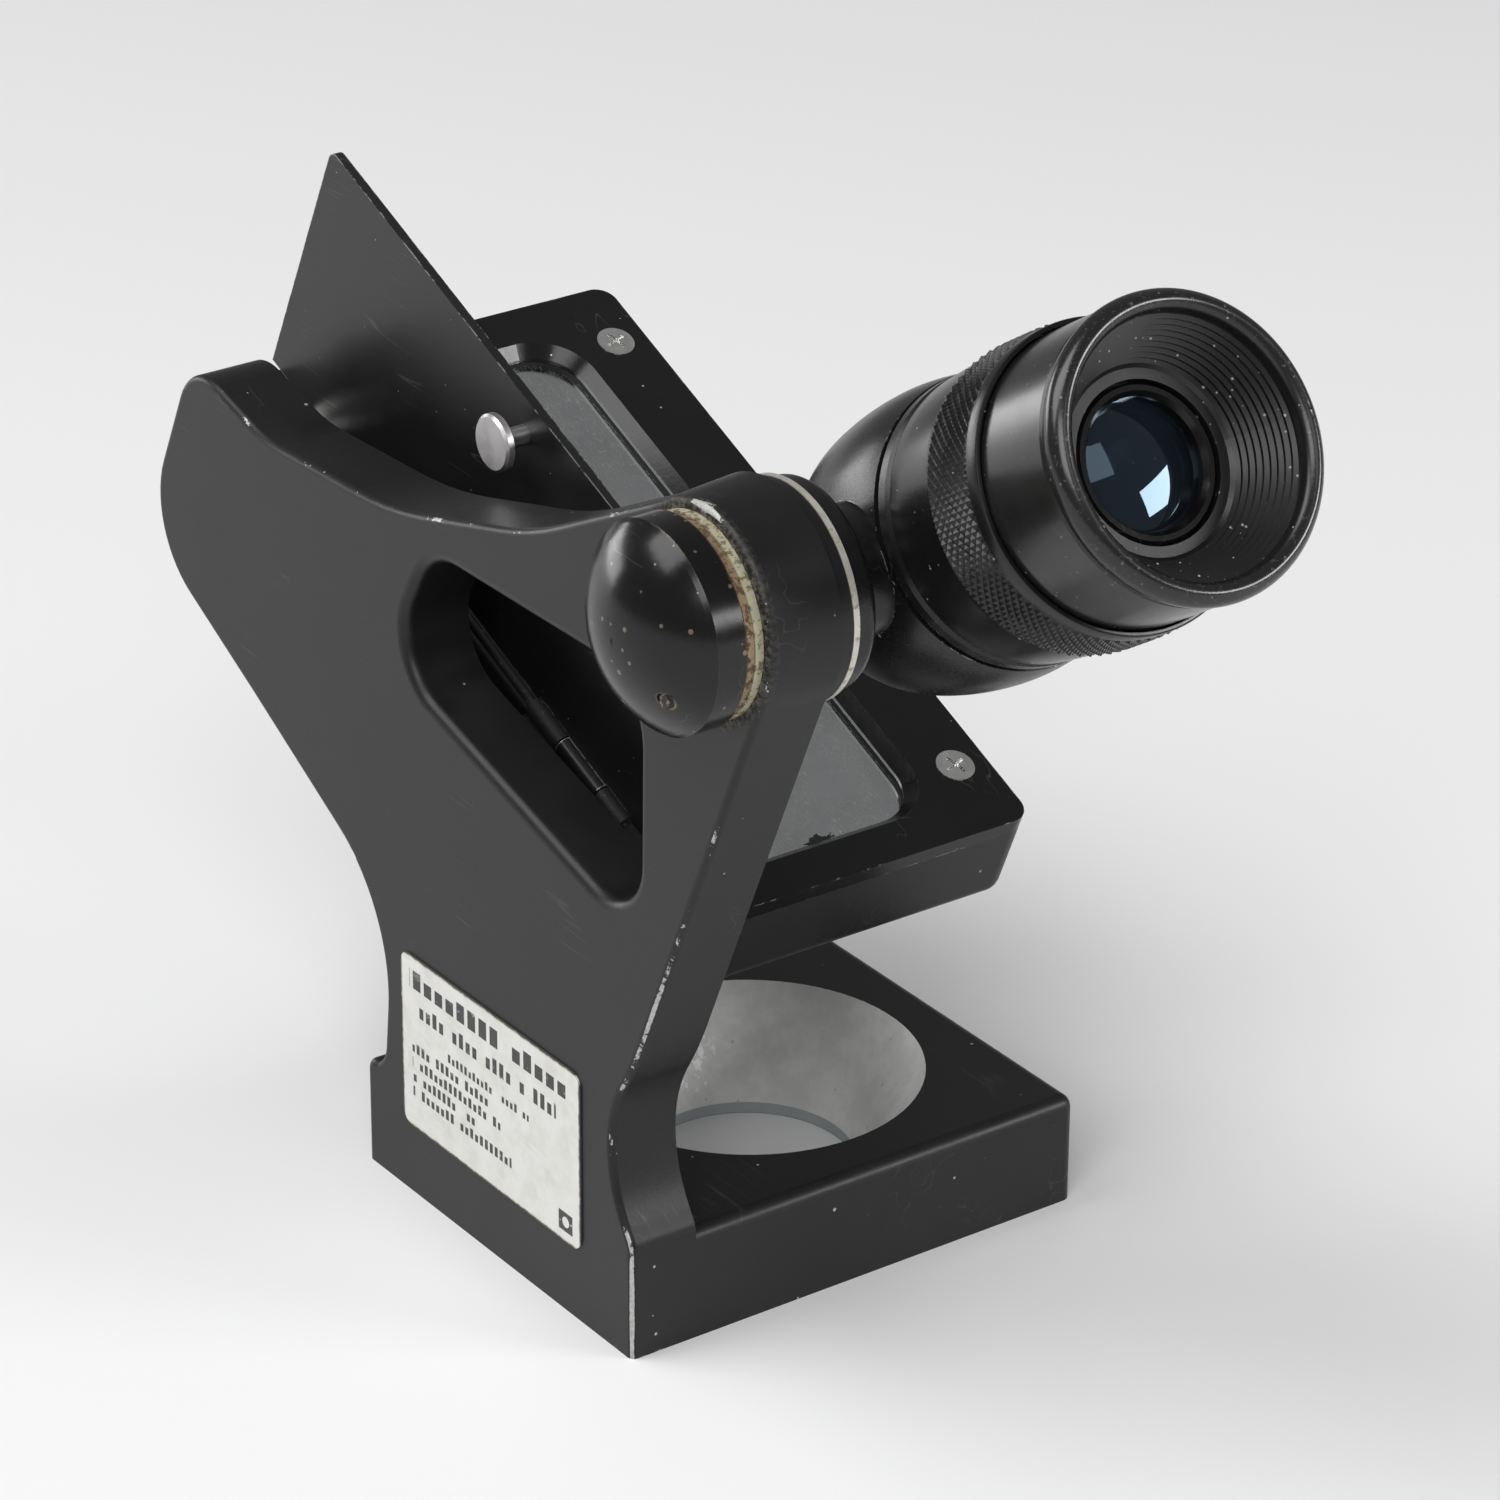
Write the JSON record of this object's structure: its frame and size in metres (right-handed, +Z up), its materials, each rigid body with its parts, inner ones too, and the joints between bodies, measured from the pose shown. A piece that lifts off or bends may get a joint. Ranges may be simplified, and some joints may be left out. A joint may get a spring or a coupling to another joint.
{
  "type": "enlarger focusing magnifier",
  "caption": "Desk magnifier for focusing an enlarger: inclined mirror on a side arm over a base aperture, with a tilting eyepiece and a hinged mirror cover.",
  "frame": {"origin": "centre of the base aperture on the plane the base rests on", "axes": "+X from the domed pivot nut towards the free edge of the mirror tray, +Y to the back where the tray is highest, +Z up"},
  "size_m": [0.0897, 0.1923, 0.1624],
  "materials": {
    "casting_paint": "satin black paint on cast aluminium, chipped at the edges",
    "label_white": null,
    "front_mirror": "front-silvered glass with fine wipe marks",
    "backing_felt": "thin dark pad",
    "plate_paint": "gloss black paint on sheet steel",
    "gasket_black": "thin black strip",
    "screw_chrome": "bright nickel plate",
    "hinge_steel": "blackened steel",
    "cover_paint": "satin black paint on aluminium sheet",
    "knob_nickel": "satin nickel",
    "bush_brass": "turned brass",
    "washer_fibre": "aged fibre",
    "washer_bronze": "browned spring bronze",
    "thrust_alloy": "dull light alloy",
    "shaft_steel": "turned steel",
    "nut_black": "gloss black enamel on turned alloy",
    "eyepiece_black": "satin black anodised alloy",
    "ring_black": "black anodised alloy, knurled",
    "tube_black": "matt black alloy",
    "eyecup_black": "moulded thermoset plastic, worn rim",
    "optical_glass": "coated optical glass",
    "clip_steel": "spring steel"
  },
  "bodies": {
    "frame": {"frame_casting": "casting_paint", "side_label": "label_white", "mirror_glass": "front_mirror", "mirror_backing": "backing_felt", "mirror_face_plate": "plate_paint", "mirror_gasket": "gasket_black", "face_plate_screws": "screw_chrome", "cover_hinge_leaves": "hinge_steel", "cover_hinge_pin": "hinge_steel", "cover_hinge_rivets": "hinge_steel", "pivot_bush": "bush_brass", "fibre_washer": "washer_fibre"},
    "eyepiece": {"spring_washer": "washer_bronze", "thrust_washer": "thrust_alloy", "pivot_shaft": "shaft_steel", "pivot_dome_nut": "nut_black", "nut_lock_screw": "shaft_steel", "eyepiece_housing": "eyepiece_black", "reticle_glass": "optical_glass", "reticle_retainer": "tube_black", "barrel_sleeve": "eyepiece_black", "ring_clip": "clip_steel"},
    "focus_collar": {"focus_ring": "ring_black"},
    "lens_unit": {"lens_tube": "tube_black", "eyecup": "eyecup_black", "field_lens": "optical_glass", "field_lens_retainer": "tube_black", "lens_spacer": "tube_black", "eye_lens_cell": "tube_black", "eye_lens": "optical_glass", "eye_lens_retainer": "ring_black"},
    "cover": {"mirror_cover": "cover_paint", "cover_knob": "knob_nickel"}
  },
  "joints": [
    {"name": "eyepiece_tilt", "type": "hinge", "parent": "frame", "child": "eyepiece", "pos_m": [0, -0.0494, 0.1182], "axis": [1, 0, 0], "range_deg": [-25, 23]},
    {"name": "focus_turn", "type": "hinge", "parent": "eyepiece", "child": "focus_collar", "pos_m": [0, -0.0494, 0.1182], "axis": [0, -0.8387, 0.5446], "range_deg": [-95, 105]},
    {"name": "focus_travel", "type": "slide", "parent": "eyepiece", "child": "lens_unit", "axis": [0, -0.8387, 0.5446], "range_m": [-0.002, 0.0022]},
    {"name": "cover_swing", "type": "hinge", "parent": "frame", "child": "cover", "pos_m": [-0.0249, -0.02258, 0.05791], "axis": [0, 0.9219, 0.3875], "range_deg": [0, 90]}
  ],
  "couplings": [
    {"joint": "focus_travel", "follows": "focus_turn", "m_per_rad": 0.0012}
  ]
}
